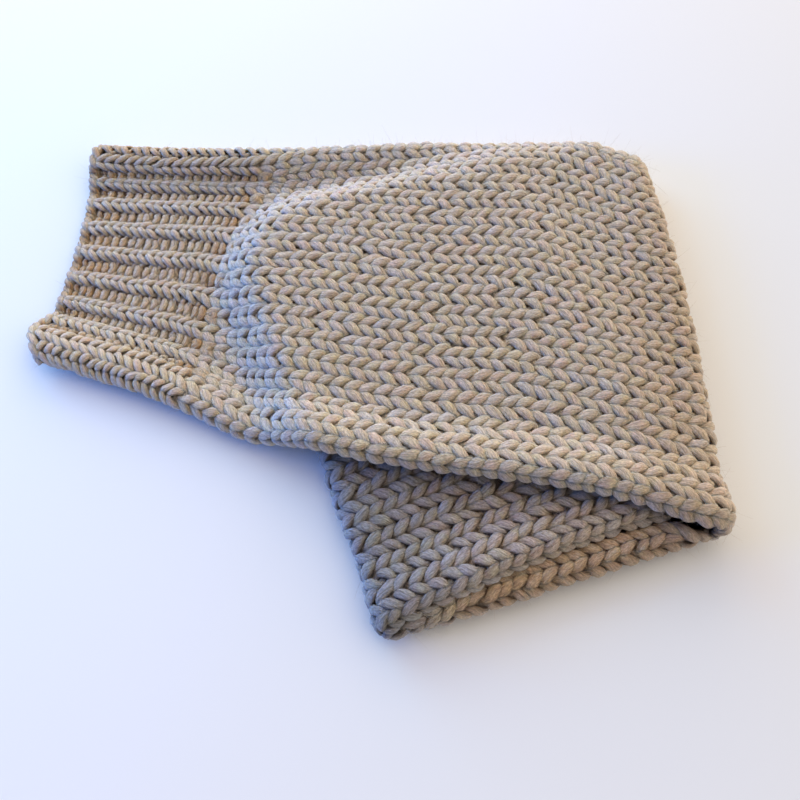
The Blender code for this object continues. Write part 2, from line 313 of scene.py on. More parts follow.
# The wool's first colour, and those that come and go over it: colour, most that there is of it, how
# quick it changes along a mm of yarn, whether it changes round it, its own place among the noises,
# their scale and detail, and the levels where it starts and is full.
WOOL = (0.54, 0.45, 0.345)
HEATHER = (
    ((0.57, 0.435, 0.345), 1.0, 0.035, True, 0.0, 1.6, 2.0, 0.42, 0.62),
    ((0.56, 0.475, 0.31), 0.8, 0.16, True, 5.0, 1.3, 2.0, 0.48, 0.66),
    ((0.50, 0.46, 0.435), 0.75, 0.012, False, 9.0, 2.0, 3.0, 0.50, 0.66),
)
# Noises wound round the yarn: how fine round it and along a mm, scale, detail and roughness.
FIBRES = (2.7, 0.30, 1.0, 3.0, 0.7)
GRAIN = (5.0, 0.9, 1.0, 2.0, 0.6)
PATCHES = (1.5, 0.25, 1.0, 2.0, 0.5)
FLECKS = (3.0, 0.5, 1.3, 2.0, 0.5)
# Plies in the yarn, the length of one turn, and the power that sharpens the lines between them.
PLIES = 3
PLY_TURN = 52.0
PLY_SHARPNESS = 0.5
# What colours it further: levels of its noises with their colours, or levels, colour and share.
STREAK_STOPS = ((0.34, (0.74, 0.72, 0.70)), (0.50, (1.0, 1.0, 1.0)), (0.64, (1.18, 1.18, 1.18)))
GRAIN_STOPS = ((0.36, (0.76, 0.75, 0.74)), (0.62, (1.17, 1.17, 1.18)))
# The darker lines between the plies are painted shade.
PLY_STOPS = ((0.0, (0.72, 0.68, 0.64)), (0.6, (1, 1, 1)))
FLECK_STOPS = ((0.66, (0, 0, 0)), (0.74, (1, 1, 1)))
FLECK, FLECK_SHARE = (0.45, 0.27, 0.12), 0.55
# OCHRE is also the colour of the painted warm shade at the right fold and on the bottom stretch.
OCHRE, OCHRE_LEVELS = (0.43, 0.26, 0.12), (0.25, 0.50)
# The colour of the grey painted shade.
GREY_SHADE = (0.52, 0.64, 0.88)
# Painted shade: its colours from deep in the cloth to the top, darker deeper, and the heights of
# the levels 0 and 1.
DEPTH_STOPS = (
    (0.0, (0.42, 0.34, 0.28)),
    (0.36, (0.86, 0.78, 0.71)),
    (0.66, (0.96, 0.94, 0.92)),
    (0.87, (1, 1, 1)),
)
DEPTH_RANGE = (-4.0, 1.0)
# Its relief, with shares of the plies, the fibres and the grain, and how far its nap turns its
# shading towards the cloth's own.
RELIEF_SHARES = (0.4, 1.3, 0.5)
RELIEF = {"Strength": 0.6, "Distance": 0.0007}
NAP = 0.8
YARN_SHADING = {
    "Roughness": 0.95,
    "Specular IOR Level": 0.1,
    "Sheen Weight": 0.35,
    "Sheen Roughness": 0.7,
    "Subsurface Weight": 0.8,
    "Subsurface Radius": (1.0, 0.8, 0.65),
    "Subsurface Scale": 0.003,
}
# Plain wools: material, scale and detail of its noise, levels with their colours, and gloss.
FUZZ_STOPS = ((0.35, (0.46, 0.37, 0.29)), (0.6, (0.66, 0.58, 0.50)))
FUZZ_WOOL = ("wool_fuzz", 160.0, 2.0, FUZZ_STOPS, 0.1)
# The sheet among the loops is dark as painted shade in the gaps between them.
DEEP_STOPS = ((0.35, (0.28, 0.21, 0.15)), (0.65, (0.42, 0.33, 0.25)))
DEEP_SHADE = ("painted_depth_shade", 300.0, 3.0, DEEP_STOPS, 0.0)

# The camera, in metres and degrees, and in mm for its lens and sensor.
EYE_DISTANCE = 0.35
EYE_ELEVATION = 67
EYE_LENS = 31.5
EYE_SENSOR = 36
EYE_NEAR = 0.01
# Lamps: place in metres, size, and watts of red, green and blue.
LAMPS = (
    ("window", (0.0, 0.9, 0.34), 0.8, (3.2, 2.4, 1.6)),
    ("sky", (-0.65, 0.65, 0.4), 0.6, (1.2, 3.6, 6.6)),
    ("side", (-0.9, 0.0, 0.25), 0.5, (0.0, 1.8, 8.0)),
)
# The soft light all round: its colours on the dark side and on the bright one, the way to the
# bright one, and how far that way the dark one ends and the bright one begins.
WORLD = ((0.12, 0.13, 0.16), (1.28, 1.155, 0.99))
WORLD_SIDE = (0.5, 0.87, 0.0)
WORLD_TURN = (-0.45, 0.18)
FLOOR_COLOUR = (0.86, 0.86, 0.87)
FLOOR_REACH = 1500.0


def smooth(x):
    """0 to 1 with flat ends."""
    x = np.clip(x, 0.0, 1.0)
    return x * x * (3.0 - 2.0 * x)


def across(line, t):
    """A line's points at t, from 0 at the back edge to 1 at the front edge, by a parabola."""
    back, centre, front = (np.array(line[i : i + 2], float) for i in (1, 3, 5))
    t = t[:, None]
    return back * (1 - t) * (1 - 2 * t) + centre * 4 * t * (1 - t) + front * t * (2 * t - 1)


def spline(points, samples):
    """Catmull-Rom through lines or keys, along the first of three axes."""
    points = [2 * points[0] - points[1], *points, 2 * points[-1] - points[-2]]
    pieces = []
    for a, b, c, d in zip(points, points[1:], points[2:], points[3:]):
        s = np.linspace(0, 1, samples, endpoint=False)[:, None, None]
        bend = (2 * a - 5 * b + 4 * c - d) * s**2 + (3 * b - a - 3 * c + d) * s**3
        pieces.append(b + 0.5 * ((c - a) * s + bend))
    return np.concatenate([*pieces, points[-2][None]])


def lengths(path):
    """Distance along each wale, from 0."""
    steps = np.linalg.norm(np.diff(path, axis=0), axis=-1)
    return np.concatenate([np.zeros((1, steps.shape[1])), np.cumsum(steps, axis=0)])


def resample(path, along, wanted):
    """Values of each wale at the wanted distances, shaped row by wale."""
    out = np.empty(wanted.shape + path.shape[-1:])
    for wale in range(path.shape[1]):
        for axis in range(path.shape[2]):
            out[:, wale, axis] = np.interp(wanted[:, wale], along[:, wale], path[:, wale, axis])
    return out


def soften(path, passes):
    """Rounds small kinks along the cloth, leaving the ends."""
    for _ in range(passes):
        path[1:-1] = path[1:-1] / 2 + (path[:-2] + path[2:]) / 4
    return path


def distance(x, y, start, end):
    """Signed distance to the line from start to end, positive on its left."""
    (ax, ay), (bx, by) = start, end
    return ((bx - ax) * (y - ay) - (by - ay) * (x - ax)) / np.hypot(bx - ax, by - ay)


def corner(first, second):
    """Signed distance to the rounded corner of two edges, positive inside both."""
    from_arc = np.hypot(np.maximum(CORNER_ROUND - first, 0), np.maximum(CORNER_ROUND - second, 0))
    return np.where(from_arc > 0, CORNER_ROUND - from_arc, np.minimum(first, second))


def climb(inside):
    """Share of a layer's height that the cloth on it has reached."""
    return smooth((inside + CLIMB_OUT) / (CLIMB_OUT + CLIMB_IN))


def lines_of(stretch):
    """A stretch's lines, in the order of the cloth."""
    return [line for line in LINES if line[0] == stretch]


def behind(line, reach):
    """The point this far behind a line's back end."""
    return line[1], line[2] + reach


def top_height(x, y):
    """The top stretch's mid surface over the table and the layers under it."""
    base, fold, end = lines_of("bottom")[0], lines_of("middle")[0], lines_of("middle")[-1]
    from_fold = distance(x, y, fold[5:7], fold[1:3])
    left = FOLD_REACH - from_fold
    bottom_back = -distance(x, y, behind(fold, BACK_REACH), behind(base, BASE_REACH))
    middle_back = -distance(x, y, behind(fold, BACK_REACH), behind(end, BACK_REACH))
    past_end = -distance(x, y, end[5:7], end[1:3])
    over_middle = climb(corner(left, middle_back))
    over_bottom = np.maximum(climb(corner(left, bottom_back)), over_middle)
    over_middle *= 1 - END_SAG * smooth(past_end / SAG_LENGTH)
    return HALF + (THICK + LAYER_GAP) * (over_bottom + over_middle)


def curls_of(stretch, place):
    """The table CURLS at places along a stretch: a row for each place, with the table's columns."""
    _, places, *columns = zip(*(row for row in CURLS if row[0] == stretch))
    values = [np.interp(place, places, column) for column in columns]
    return np.stack([np.zeros_like(place), place, *values], axis=1)


def edge_reach(degrees, length):
    """How far a curled edge reaches outwards."""
    turn = np.radians(degrees)
    return (length / turn * np.sin(np.minimum(turn, np.pi / 2)))[:, None]


def plan_of(name, t):
    """A stretch's plan, row by wale, with the left fold's back corner tucked in."""
    lines = lines_of(name)
    plan = [across(line, t) for line in lines]
    fold = {"bottom": -1, "middle": 0}.get(name)
    if fold is not None:
        plan[fold][:, 0] += TUCK * (1 - smooth(t * np.ptp(plan[fold][:, 1]) / TUCK_LENGTH))
    return spline(plan, SAMPLES)


def stretch_sheet(name, t):
    """A stretch's flat part, row by wale, and its edges' curls, which reach out to its lines."""
    plan = plan_of(name, t)
    curls = curls_of(name, np.linspace(0, 1, len(plan)))
    width = np.linalg.norm(plan[:, -1] - plan[:, 0], axis=1)[:, None]
    back_inset = edge_reach(curls[:, BACK_TURN], curls[:, BACK_LENGTH]) / width
    front_bent = curls[:, FRONT_LENGTH] - curls[:, FRONT_END]
    front_inset = edge_reach(curls[:, FRONT_TURN], front_bent) / width
    inner = back_inset + t * (1 - back_inset - front_inset)
    even = np.repeat(t[:, None], len(plan), axis=1)
    flat = resample(plan.swapaxes(0, 1), even, inner.T).swapaxes(0, 1)
    height = {
        "top": top_height(flat[..., 0], flat[..., 1]),
        "bottom": np.full(flat.shape[:2], HALF),
        "middle": np.full(flat.shape[:2], HALF + THICK + LAYER_GAP),
    }[name]
    back = np.maximum(curls[:, BACK_LIFT, None] - height[:, :1] + HALF, 0)
    height += back * (1 - smooth(t * width / CURL_TAPER))
    height += curls[:, FRONT_LIFT, None] * (1 - smooth((1 - t) * width / CURL_TAPER))
    return np.concatenate([flat, height[..., None]], axis=-1), curls


def fold_sheet(before, after):
    """The half turn from the last row of one stretch to the first row of the next."""
    start, end = before[-1], after[0]
    radius = (start[:, 2] - end[:, 2]) / 2
    tangent = np.gradient(start[:, :2], axis=0)
    normal = unit(np.stack([tangent[:, 1], -tangent[:, 0]], axis=1))
    heading = (before[-1] - before[-1 - HEADING_ROWS])[:, :2]
    normal *= np.sign((normal * heading).sum(axis=1))[:, None]
    rows = []
    for turn in np.linspace(0, np.pi, ARC_SAMPLES + 2)[1:-1]:
        row = start + (end - start) * turn / np.pi
        row[:, :2] += (np.abs(radius) * np.sin(turn))[:, None] * normal
        row[:, 2] = end[:, 2] + radius * (1 + np.cos(turn))
        rows.append(row)
    return np.array(rows)


def whole_sheet():
    """The scarf's flat part with its edges' curls, row by wale, and how far along each mark is."""
    t = np.linspace(0, 1, WALES)
    top, top_curls = stretch_sheet("top", t)
    bottom, bottom_curls = stretch_sheet("bottom", t)
    middle, middle_curls = stretch_sheet("middle", t)
    parts = [top, fold_sheet(top, bottom), bottom, fold_sheet(bottom, middle), middle]
    sheet = soften(np.concatenate(parts), SOFTEN_PASSES)
    held = [np.repeat(curls[-1:], ARC_SAMPLES, axis=0) for curls in (top_curls, bottom_curls)]
    curls = np.concatenate([top_curls, held[0], bottom_curls, held[1], middle_curls])
    along = lengths(sheet)
    last = np.cumsum([len(part) for part in parts])
    marks = {
        "rib_end": along[RIB_LINES * SAMPLES],
        "right_fold_top": along[last[0] - 1 - SEAM_ROWS],
        "right_fold_base": along[last[1] + SEAM_ROWS],
        "left_fold_base": along[last[2] - 1 - SEAM_ROWS],
        "left_fold_top": along[last[3] + SEAM_ROWS],
        "bound_off": along[-1],
    }
    return sheet, curls, along, marks


def unit(vectors):
    """Vectors made 1 long."""
    return vectors / np.linalg.norm(vectors, axis=-1, keepdims=True)


def row_number(along, marks):
    """Rows of knitting up to a distance along each wale.

    They are even rows of rib, then courses, and past the right fold they run evenly to the end.
    """
    rib, turned, end = (marks[name] for name in ("rib_end", "right_fold_base", "bound_off"))
    rows = np.where(along < rib, RIB_ROWS * along / rib, RIB_ROWS + (along - rib) / COURSE)
    at_turn = RIB_ROWS + (turned - rib) / COURSE
    after = at_turn + (along - turned) / (end - turned) * (ROWS + 1 - at_turn)
    return np.where(along > turned, after, rows)


def curl(edge, outward, knit_side, degrees, length, straight, shares):
    """A curled edge's mid surface and its knit sides, at shares of its length, row by column."""
    turns, bent = np.radians(degrees)[:, None], (length - straight)[:, None]
    along = length[:, None] * shares
    turn = turns * np.minimum(along / bent, 1)
    past = np.maximum(along - bent, 0)[..., None]
    radius = (bent / turns)[..., None]
    sine, cosine = np.sin(turn)[..., None], np.cos(turn)[..., None]
    outward, knit_side = outward[:, None], knit_side[:, None]
    points = edge[:, None] + radius * (sine * outward - (1 - cosine) * knit_side)
    points += past * (cosine * outward - sine * knit_side)
    return points, sine * outward + cosine * knit_side


def wale_places(points, grid):
    """Places of the wales across the flat part, from 0 to 1: by distance, but even in ribbing."""
    distances = lengths(points.swapaxes(0, 1))
    distances /= distances[-1]
    even = np.linspace(0, 1, WALES)[:, None]
    return distances + (even - distances) * rib_share(grid, DRAWN_FADE)


class Cloth:
    """The knitted surface as a grid over stitches across and rows along, with its knit sides."""

    def __init__(self):
        sheet, curls, along, marks = whole_sheet()
        rows = row_number(along, marks)
        self.marks = {name: row_number(at, marks) for name, at in marks.items()}
        grid = np.arange(0, (ROWS + 1) * ROW_STEPS + 1) / ROW_STEPS
        wanted = np.repeat(grid[:, None], WALES, axis=1)
        points = resample(sheet, rows, wanted)
        curls = resample(np.repeat(curls[:, None], WALES, axis=1), rows, wanted)
        ahead = np.gradient(points, axis=0)
        knit_side = unit(np.cross(np.gradient(points, axis=1), ahead))
        outward = unit(np.cross(ahead, knit_side))
        self.lay(points, knit_side, outward, curls, grid)

    def lay(self, points, knit_side, outward, curls, grid):
        """Lays the columns over the flat part and both curled edges."""
        columns = np.arange(0, STITCHES * COLUMN_STEPS + 1) / COLUMN_STEPS
        back, front = curls[:, 0], curls[:, -1]
        starts = front[:, FRONT_COLUMN, None]
        flat = (columns - BACK_FLAT) / (starts - BACK_FLAT)
        wales, places = wale_places(points, grid), np.clip(flat, 0, 1).T
        middle = resample(points.swapaxes(0, 1), wales, places).swapaxes(0, 1)
        faced = unit(resample(knit_side.swapaxes(0, 1), wales, places).swapaxes(0, 1))
        before = np.interp(columns, [0, BACK_SIDE, BACK_FLAT], [1, SIDE_TURN, 0])[None]
        after = np.clip((columns - starts) / (STITCHES - starts), 0, 1)
        back_curl = back[:, BACK_TURN], back[:, BACK_LENGTH], np.zeros(len(back))
        front_curl = front[:, FRONT_TURN], front[:, FRONT_LENGTH], front[:, FRONT_END]
        back = curl(points[:, 0], -outward[:, 0], knit_side[:, 0], *back_curl, before)
        front = curl(points[:, -1], outward[:, -1], knit_side[:, -1], *front_curl, after)
        at_back, at_front = (flat < 0)[..., None], (flat > 1)[..., None]
        self.points = np.where(at_back, back[0], np.where(at_front, front[0], middle))
        self.faced = np.where(at_back, back[1], np.where(at_front, front[1], faced))
        self.points[..., :2] += ORIGIN_SHIFT

    def mark(self, name, stitch):
        """The row at which a mark crosses each stitch."""
        flat = (stitch - BACK_FLAT) / (FRONT_FLAT - BACK_FLAT)
        return np.interp(flat, np.linspace(0, 1, WALES), self.marks[name])

    def at(self, stitch, row):
        """Points and knit sides, with the points continued straight past both ends."""
        x = np.clip(stitch * COLUMN_STEPS, 0, self.points.shape[1] - INSIDE)
        y = row * ROW_STEPS
        held = np.clip(y, 0, self.points.shape[0] - INSIDE)
        i, j = held.astype(int), x.astype(int)
        beyond, share = (y - i)[..., None], (x - j)[..., None]
        near, far, faced, ahead = (
            grid[line, j] * (1 - share) + grid[line, j + 1] * share
            for grid in (self.points, self.faced)
            for line in (i, i + 1)
        )
        inner = np.clip(beyond, 0, 1)
        return near + (far - near) * beyond, unit(faced * (1 - inner) + ahead * inner)


def rib_share(row, fade=RIB_FADE):
    """1 in the ribbed end, fading to 0 over its last rows and the first ones past it."""
    return 1 - smooth((row - RIB_ROWS + RIB_FADE_START) / fade)


def drawn(stitch, row):
    """A place across the cloth, with ribbed columns drawn aside and purl ones squeezed."""
    centres = [column + 0.5 for column, _ in DRAWN]
    shifts = [shift for _, shift in DRAWN]
    aside = np.interp(stitch, [0, *centres, STITCHES], [0, *shifts, 0])
    among_purls = smooth(stitch - PURLS[0] + 1) * smooth(PURLS[-1] + 2 - stitch)
    from_purl = stitch - PURLS[0] - 0.5
    aside -= PURL_SQUEEZE * among_purls * np.sin(np.pi * from_purl)
    return stitch + aside * rib_share(row, DRAWN_FADE)


def cast_on_rows(stitch, row):
    """Rows moved to give the cast-on edge its own outline."""
    shift = np.interp(stitch, *zip(*CAST_ON))
    return row + shift * (1 - smooth(row / CAST_ON_FADE))


def loop_keys():
    """A loop's keys from its left sinker round to the right one, where the next loop starts."""
    left = np.array(LOOP)
    right = left[-2:0:-1] * (-1, 1, 1, 1)
    return np.concatenate([left, right])


def stitch_keys(rows):
    """Every stitch's own keys, row by column by key."""
    tables = np.array([loop_keys(), RIB_LOOP, PURL_LOOP])
    kinds = np.zeros((len(rows), STITCHES), int)
    kinds[:RIB_ROWS, RIB_KNITS] = 1
    kinds[:RIB_ROWS, PURLS] = 2
    return tables[kinds]


def knit_signs(rows):
    """1 for a knit stitch and -1 for a purl one, row by column, with one more knit at each side."""
    signs = np.ones((len(rows), STITCHES + 2))
    signs[:, [column + 1 for column in PURLS]] = np.where(rows < RIB_ROWS, -1, 1)[:, None]
    return signs


def wander(rng, rows, spacing):
    """Slow random drift over the stitches, row by column."""
    coarse = rng.normal(size=(int(rows / spacing[0]) + 3, int(STITCHES / spacing[1]) + 3))
    row = np.arange(rows) / spacing[0]
    column = np.arange(STITCHES) / spacing[1]
    i, j = row.astype(int)[:, None], column.astype(int)
    y, x = smooth(row - i[:, 0])[:, None], smooth(column - j)
    near = coarse[i, j] * (1 - x) + coarse[i, j + 1] * x
    far = coarse[i + 1, j] * (1 - x) + coarse[i + 1, j + 1] * x
    return near * (1 - y) + far * y


def key_values(values, count):
    """A value per stitch spread over its keys: halfway to the stitch before at the first key."""
    before = np.concatenate([values[:, :1], values[:, :-1]], axis=1)
    spread = np.repeat(values[..., None], count, axis=2)
    spread[..., 0] = (values + before) / 2
    return spread


def row_paths(rng):
    """The yarn's line in each row: stitch, row, depth and girth, row by key."""
    rows = np.arange(ROWS)
    signs = knit_signs(rows)
    keys = stitch_keys(rows)
    count = keys.shape[2]
    drift = {name: wander(rng, ROWS, spacing) * size for name, spacing, size in DRIFTS}
    own = {
        name: key_values(drift.get(name, 1) + rng.normal(size=(ROWS, STITCHES)) * size, count)
        for name, size in SPREADS.items()
    }
    # A loop's first key is the last loop's end too, so it isn't opened.
    across_loop = keys[..., 0] * own["opening"]
    across_loop[..., 0] = LOOP[0][0]
    stitch = np.arange(STITCHES)[None, :, None] + 0.5 + across_loop + own["aside"]
    row = rows[:, None, None] + keys[..., 1] * own["height"] + own["ahead"]
    sign = np.repeat(signs[:, 1:-1, None], count, axis=2)
    sign[..., 0] = (signs[:, :-2] + signs[:, 1:-1]) / 2
    depth, girth = keys[..., 2] * sign * own["depth"], keys[..., 3] * own["girth"]
    path = np.stack([stitch, row, depth, girth], axis=-1)
    path += rng.normal(size=path.shape) * KEY_SPREADS
    path = path.reshape(ROWS, -1, len(KEY_SPREADS))
    closing = path[:, :1] + (STITCHES, 0, 0, 0)
    return np.concatenate([path, closing], axis=1)


def edge_turns(path):
    """The yarn's turns from each row into the next, at the front and the back edge by turns."""
    along, depth, girth = np.array(EDGE_TURN).T
    turns = np.zeros((len(path) - 1, len(along), path.shape[-1]))
    for row, turn in enumerate(turns):
        end = turning_end(row)
        start, finish = path[row, end], path[row + 1, end]
        turn[:, :2] = start[:2] + (finish[:2] - start[:2]) * along[:, None]
        turn[:, 2], turn[:, 3] = depth, girth
    return turns


def turning_end(row):
    """The end of a row at which the yarn turns into the next one: the last stitch or the first."""
    return -1 if row % 2 == 0 else 0


def spline_row(path, samples):
    """Catmull-Rom along each row's keys."""
    return spline(path.swapaxes(0, 1), samples).swapaxes(0, 1)


def place_path(cloth, path):
    """Yarn centres in mm with the knit sides there, and radii."""
    stitch, row, depth, girth = np.moveaxis(path, -1, 0)
    ribbed = rib_share(row)
    points, faced = cloth.at(drawn(stitch, row), cast_on_rows(stitch, row))
    columns = np.arange(STITCHES) + 0.5
    heights = [-1 if column in PURLS else 1 for column in range(STITCHES)]
    relief = RIB_RELIEF * np.interp(stitch, columns, heights) * ribbed
    points = points + (depth * DEPTH + relief)[..., None] * faced
    radius = YARN_RADIUS * girth * (1 - (1 - RIB_GIRTH) * ribbed)
    return points, faced, radius


def groove(stitch, row):
    """How much deeper than it is the yarn looks in the grooves of the ribbing, in mm, as painted
    shade.
    """
    from_groove = np.min([np.abs(stitch - purl - GROOVE_PLACE) for purl in PURLS], axis=0)
    return GROOVE * np.exp(-((from_groove / GROOVE_WIDTH) ** 2)) * rib_share(row)


def band(row, middle, reach, share):
    """A share that is all there at its middle row and fades out to both sides."""
    return share * np.exp(-(((row - middle) / reach) ** 2))


def ochre_and_warm_shade(stitch, row):
    """Share of ochre in ribbed purl columns and back corner, and of ochre as painted warm shade at
    the right fold and below it.
    """
    from_purl = np.min([np.abs(stitch - column - 0.5) for column in PURLS], axis=0)
    purl = np.exp(-((from_purl / PURL_OCHRE_WIDTH) ** 4))
    share = sum(band(row, *part) for part in PURL_OCHRE) + PURL_OCHRE_ALL * rib_share(row)
    corner_share = band(row, *CORNER_OCHRE) * smooth(CORNER_STITCH - stitch)
    below = smooth((row - UNDER_ROW) / UNDER_FADE) * (1 - smooth((row - GREY_ROW) / GREY_FADE))
    return np.clip(purl * share + corner_share + RIM_WARM_SHADE * below + band(row, *TURN_WARM_SHADE), 0, 1)


def grey_shade(row):
    """Share of the grey painted shade: all over the middle stretch, and more by the left fold."""
    return smooth((row - GREY_ROW) / GREY_FADE) * (GREY_ALL + band(row, *GREY_FOLD))


def tone(path):
    """How high a path's points look, in mm, lowered as painted shade in the ribbing's grooves and
    on the lower layers, and their cast: share of ochre, partly painted warm shade, or, below 0, of
    grey painted shade.
    """
    stitch, row, depth = np.moveaxis(path[..., :3], -1, 0)
    # Painted shade: the layers under the top one look deeper, so darker.
    under_shade = UNDER_SHADE * smooth((row - UNDER_ROW) / UNDER_FADE)
    return depth * DEPTH - groove(stitch, row) - under_shade, ochre_and_warm_shade(stitch, row) - grey_shade(row)


def yarn_lengths(points):
    """The yarn's length so far at each point, one row after the other."""
    along = lengths(points.swapaxes(0, 1)).T
    starts = np.concatenate([[0], np.cumsum(along[:-1, -1])])
    return along + starts[:, None]


def yarn_lines(cloth, path):
    """What tubes are made from: centres, knit sides, radii, lengths, heights and casts, by row."""
    points, faced, radius = place_path(cloth, path)
    return points, faced, radius, yarn_lengths(points), *tone(path)


def tube(points, faced, radius, length, height, cast, sides):
    """Vertices, quads, UVs and tones of a tube along points.

    U is the yarn's length in mm and V goes round it. A tone is a height, a cast and a knit side.
    """
    ahead = unit(np.gradient(points, axis=0))
    side = unit(np.cross(ahead, faced))
    up = np.cross(side, ahead)
    angle = 2 * np.pi * np.arange(sides) / sides
    ring = np.cos(angle)[:, None] * side[:, None] + FLATTENED * np.sin(angle)[:, None] * up[:, None]
    lumps = 1 + LUMPS * np.sin(np.outer(length, LUMP_TURNS[:sides]))
    vertices = points[:, None] + (radius[:, None] * lumps)[..., None] * ring
    index = np.arange(len(points) * sides).reshape(len(points), sides)
    beside = np.roll(index, -1, axis=1)
    quads = np.stack([index[:-1], beside[:-1], beside[1:], index[1:]], axis=-1)
    u = np.stack([length[:-1], length[:-1], length[1:], length[1:]], axis=-1)[:, None]
    v = np.arange(sides)[:, None] + (0, 1, 1, 0)
    uvs = np.stack(np.broadcast_arrays(u, v[None] / sides), axis=-1)
    heights = height[:, None] + radius[:, None] * np.sin(angle)
    casts, knit_sides = np.repeat(cast, sides), np.repeat(faced, sides, axis=0)
    tones = np.concatenate([heights.reshape(-1, 1), casts[:, None], knit_sides], axis=1)
    return vertices.reshape(-1, 3), quads.reshape(-1, 4), uvs.reshape(-1, 4, 2), tones


def piece_of(cloth):
    """The name of the piece that each stitch belongs to, row by column."""
    middles = np.arange(ROWS) + STITCH_MIDDLE[0], np.arange(STITCHES) + STITCH_MIDDLE[1]
    row, stitch = np.meshgrid(*middles, indexing="ij")
    names = np.empty(row.shape, dtype=object)
    for name, mark, *_ in PIECES:
        start = cloth.mark(mark, stitch) if isinstance(mark, str) else mark
        names[row >= start] = name
    return names


def fine_stitches(names):
    """Which stitches get the finer tube: all that can be seen without turning the scarf over."""
    stitch = np.indices(names.shape)[1]
    return np.any([(names == name) & (stitch >= first) for name, _, _, first in PIECES], axis=0)


def runs(names, fine):
    """Stretches of a row in one piece and of one detail: the row, first and last stitch of each."""
    change = (names[:, 1:] != names[:, :-1]) | (fine[:, 1:] != fine[:, :-1])
    for row, changes in enumerate(change):
        edges = [0, *(np.flatnonzero(changes) + 1), STITCHES]
        for first, last in zip(edges, edges[1:]):
            yield row, first, last


def yarn_tubes(cloth, rng):
    """Every piece's tubes by its name: rows, the turns between them and the twists at the ends."""
    keys = row_paths(rng)
    names = piece_of(cloth)
    fine = fine_stitches(names)
    step = len(loop_keys()) * KEY_SAMPLES
    lines = yarn_lines(cloth, spline_row(keys, KEY_SAMPLES))
    tubes = {}
    for row, first, last in runs(names, fine):
        skip, sides = (1, FINE_SIDES) if fine[row, first] else (KEY_SAMPLES, COARSE_SIDES)
        picked = slice(first * step, last * step + 1, skip)
        made = tube(*(values[row, picked] for values in lines), sides)
        tubes.setdefault(names[row, first], []).append(made)
    lines = yarn_lines(cloth, spline_row(edge_turns(keys), KEY_SAMPLES))
    for row, parts in enumerate(zip(*lines)):
        tubes[names[row, turning_end(row)]].append(tube(*parts, COARSE_SIDES))
    for name, strands in cords(cloth):
        tubes[name] += strands
    return tubes


def cords(cloth):
    """The two twisted strands at each end of the cloth, by the piece that they belong to."""
    stitch = np.arange(STITCHES * CORD_STEPS + 1) / CORD_STEPS
    for name, row, turns, swing, depth, girth in CORDS:
        strands = []
        for phase in (0, np.pi):
            angle = 2 * np.pi * turns * stitch + phase
            swung, deep = row + swing * np.sin(angle), depth * np.cos(angle)
            path = np.stack([stitch, swung, deep, np.full(len(stitch), girth)], axis=-1)
            lines = yarn_lines(cloth, path[None])
            strands.append(tube(*(values[0] for values in lines), FINE_SIDES))
        yield name, strands


def joined(meshes):
    """Meshes as one: their vertices, their quads and all else that they have."""
    vertices, quads, *others = zip(*meshes)
    starts = np.cumsum([0, *(len(points) for points in vertices[:-1])])
    quads = [faces + start for faces, start in zip(quads, starts)]
    return [np.concatenate(parts) for parts in (vertices, quads, *others)]


def rested(vertices):
    """Vertices pressed flat where the scarf lies on the table."""
    vertices[:, 2] = np.maximum(vertices[:, 2], TABLE_GAP)
    return vertices


def mesh_object(name, vertices, quads, uvs=None, tones=None):
    """A smooth mesh of quads, from mm, with the yarn's UVs and tones: height, cast, knit side."""
    mesh = bpy.data.meshes.new(name)
    mesh.vertices.add(len(vertices))
    mesh.vertices.foreach_set("co", (vertices * MM).astype(np.float32).ravel())
    mesh.loops.add(quads.size)
    mesh.loops.foreach_set("vertex_index", quads.astype(np.int32).ravel())
    mesh.polygons.add(len(quads))
    mesh.polygons.foreach_set("loop_start", np.arange(0, quads.size, 4, dtype=np.int32))
    mesh.polygons.foreach_set("use_smooth", np.ones(len(quads), bool))
    if uvs is not None:
        layer = mesh.uv_layers.new(name="yarn")
        layer.data.foreach_set("uv", uvs.astype(np.float32).ravel())
    if tones is not None:
        for column, attribute in enumerate(("height", "cast")):
            layer = mesh.attributes.new(attribute, "FLOAT", "POINT")
            layer.data.foreach_set("value", tones[:, column].astype(np.float32))
        layer = mesh.attributes.new("knit_side", "FLOAT_VECTOR", "POINT")
        layer.data.foreach_set("vector", tones[:, 2:].astype(np.float32).ravel())
    mesh.update()
    mesh.validate()
    piece = bpy.data.objects.new(name, mesh)
    bpy.context.scene.collection.objects.link(piece)
    return piece


def fuzz_strands(vertices, quads, count, rng):
    """Thin bent strips that start on the yarn's surface and lie along and off it."""
    corners = vertices[quads[rng.integers(0, len(quads), count)]]
    root = corners.mean(axis=1)
    ahead = unit(corners[:, 3] - corners[:, 0])
    out = unit(np.cross(corners[:, 1] - corners[:, 0], corners[:, 3] - corners[:, 0]))
    aside = np.cross(out, ahead)
    angle = rng.uniform(0, 2 * np.pi, count)[:, None]
    rise = rng.uniform(*FUZZ_RISE, count)[:, None]
    heading = unit(np.cos(angle) * ahead * FUZZ_ALONG + np.sin(angle) * aside + rise * out)
    bend = rng.normal(size=(count, 3)) * FUZZ_CURL
    length = rng.uniform(*FUZZ_LENGTH, count)[:, None]
    share = np.linspace(0, 1, FUZZ_STEPS + 1)[:, None, None]
    path = root + length * (share * heading + share**2 * bend)
    flat = unit(np.cross(heading, rng.normal(size=(count, 3)))) * FUZZ_WIDTH / 2
    taper = 1 - FUZZ_TAPER * share
    strip = np.stack([path - flat * taper, path + flat * taper], axis=2)
    points = strip.transpose(1, 0, 2, 3).reshape(-1, 3)
    start = np.arange(count)[:, None] * 2 * (FUZZ_STEPS + 1) + 2 * np.arange(FUZZ_STEPS)
    faces = np.stack([start, start + 1, start + 3, start + 2], axis=-1).reshape(-1, 4)
    return points, faces


